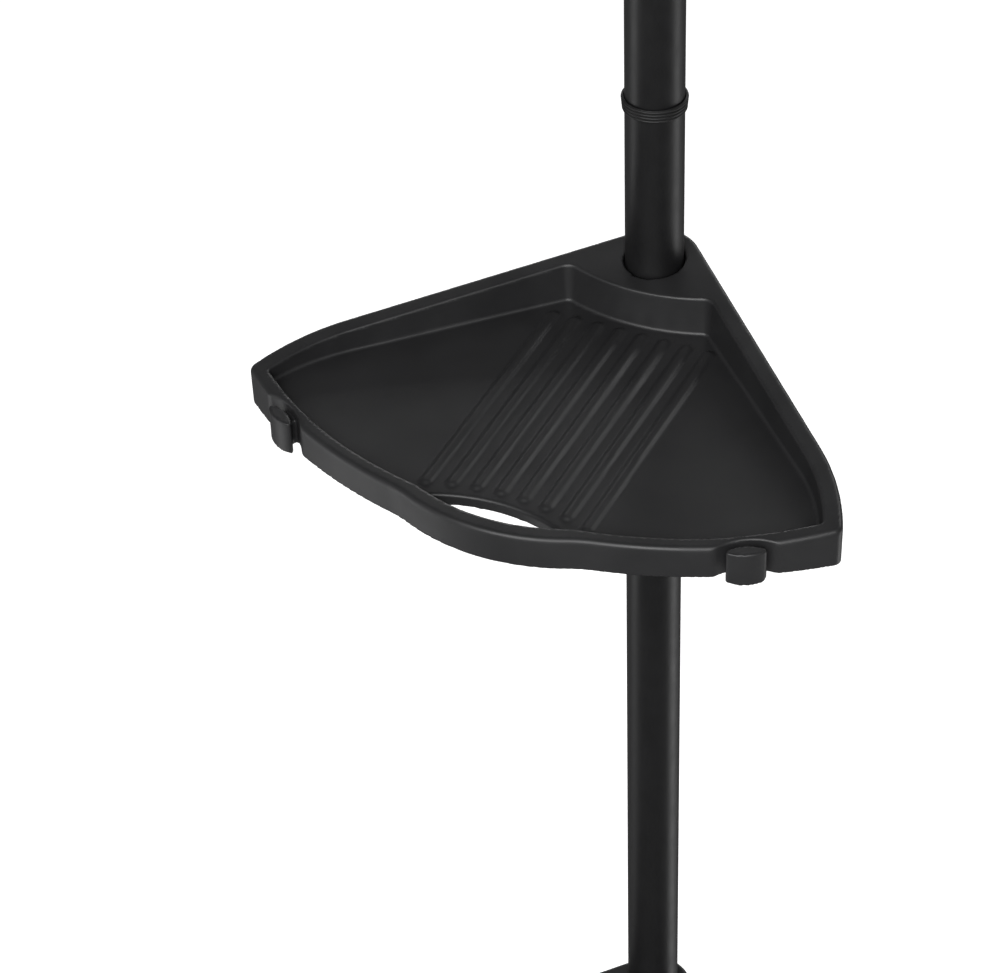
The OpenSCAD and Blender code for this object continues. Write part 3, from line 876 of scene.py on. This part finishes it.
class CADDY_OT_feet(bpy.types.Operator):
    """Builds the flared feet and their rubber pads"""
    bl_idname = "caddy.feet"
    bl_label = "Feet and pads"

    def execute(self, context):
        for end in ("floor", "ceiling"):
            low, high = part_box(end + "_foot")
            pad_low, pad_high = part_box(end + "_pad")
            out, pad_out = high.x / MM, pad_high.x / MM
            up = end == "floor"
            face = (pad_low.z if up else pad_high.z) / MM
            rise = lambda r, z: (r, face + z if up else face - z)
            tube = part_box("lower_tube" if up else "plunger_tube")[1].x / MM
            # heights above the pad's face: the foot's underside, the tube's end, the plug's hollow, the top
            under, seat, hollow = 4, 12, 14
            tall = (high.z - low.z) / MM + under
            # radii: the cup round the tube, the tube's two faces with their gaps, the hollow in the plug
            cup, outside, plug, inside = tube + 3.2, tube + 0.1, tube - 1.1, tube - 3.2
            body = [rise(0, under), rise(out, under), rise(out, 6.5), rise(out - 4, 9), rise(cup + 3, seat),
                    rise(cup, 16), rise(cup, tall - 1), rise(cup - 1, tall), rise(outside, tall),
                    rise(outside, seat), rise(plug, seat), rise(plug, tall), rise(inside, tall),
                    rise(inside, hollow), rise(0, hollow)]
            # the pad's grooves, its rounded edge and the lip that holds the foot
            tread = [rise(0, 0)]
            for r in (10, 16, 22):
                tread += [rise(r - 0.9, 0), rise(r - 0.6, 1.2), rise(r + 0.6, 1.2), rise(r + 0.9, 0)]
            lip, lip_top = pad_out - 1.5, 5.5
            tread += [rise(pad_out - 1, 0), rise(pad_out, 1), rise(pad_out, lip_top), rise(lip, lip_top),
                      rise(lip, under), rise(0, under)]
            for node, line, kind, slot_name, r in (("foot", body, "moulded_pp", "fitting_plastic", 0.8),
                                                   ("pad", tread, "rubber", "pad_rubber", 0.35)):
                obj = lathe("turned_" + end + "_" + node, line if up else line[::-1], radius=r, closed=False)
                finish_piece(obj, body_of(end + "_" + node), slot_name, finish(kind), end + "_" + node)
        return {"FINISHED"}


class CADDY_OT_sleeves(bpy.types.Operator):
    """Builds the tapered split sleeves"""
    bl_idname = "caddy.sleeves"
    bl_label = "Split sleeves"

    def execute(self, context):
        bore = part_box("lower_tube")[1].x / MM + 0.05
        flange_top, cone_foot, split = 3, 3.3, 1.6
        for n in range(1, len(TRAYS) + 1):
            for side, first in (("front", 180.0), ("back", 0.0)):
                node = "sleeve_%s_%d" % (side, n)
                low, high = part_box(node)
                base, top = low.z / MM, high.z / MM
                flange = high.x / MM
                foot = CONE_R + CONE_SLOPE * (top - base - cone_foot + 1) - CONE_GAP
                line = [(bore, base), (flange, base), (flange, base + flange_top), (foot, base + cone_foot),
                        (CONE_R + CONE_SLOPE - CONE_GAP, top), (bore, top)]
                obj = lathe("split_" + node, line, radius=0.5, segments=120,
                            start=first + split, end=first + 180 - split)
                finish_piece(obj, body_of(node), "sleeve_plastic", finish("moulded_pp"), node)
        return {"FINISHED"}


class CADDY_OT_spring(bpy.types.Operator):
    """Winds the tension spring"""
    bl_idname = "caddy.spring"
    bl_label = "Tension spring"

    def execute(self, context):
        low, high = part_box("tension_spring")
        wire, turns = 1.1 * MM, 18.0
        obj = mesh_object("wound_tension_spring", [(0, 0, low.z)], [])
        grow(obj, coil_tree(), {"Radius": high.x - wire, "Wire": wire, "Turns": turns,
                                "Length": high.z - low.z - 2 * wire, "Foot": low.z + wire,
                                "Material": finish("wire")})
        finish_piece(obj, body_of("tension_spring"), "spring_steel", finish("wire"), "tension_spring")
        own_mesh(obj)
        return {"FINISHED"}


class CADDY_PT_panel(bpy.types.Panel):
    """Lists the pieces"""
    bl_label = "Shower caddy"
    bl_idname = "CADDY_PT_panel"
    bl_space_type = "VIEW_3D"
    bl_region_type = "UI"
    bl_category = "Caddy"

    def draw(self, context):
        for operator in OPERATORS:
            self.layout.operator(operator.bl_idname)


OPERATORS = (CADDY_OT_tubes, CADDY_OT_trays, CADDY_OT_sleeves, CADDY_OT_rings, CADDY_OT_feet, CADDY_OT_spring,
             CADDY_OT_stage)
GROUPS = {"caddy_tray": CaddyTray, "caddy_ring": CaddyRing, "caddy_look": CaddyLook,
          "caddy_stage": CaddyStage}
CLASSES = (*GROUPS.values(), *OPERATORS, CADDY_PT_panel)


def register():
    for cls in CLASSES:
        bpy.utils.register_class(cls)
    for name, group in GROUPS.items():
        setattr(bpy.types.Scene, name, bpy.props.PointerProperty(type=group))


def unregister():
    for name in GROUPS:
        delattr(bpy.types.Scene, name)
    for cls in reversed(CLASSES):
        bpy.utils.unregister_class(cls)


def main():
    register()
    for operator in OPERATORS:
        group, name = operator.bl_idname.split(".")
        getattr(getattr(bpy.ops, group), name)()


if __name__ == "__main__":
    main()
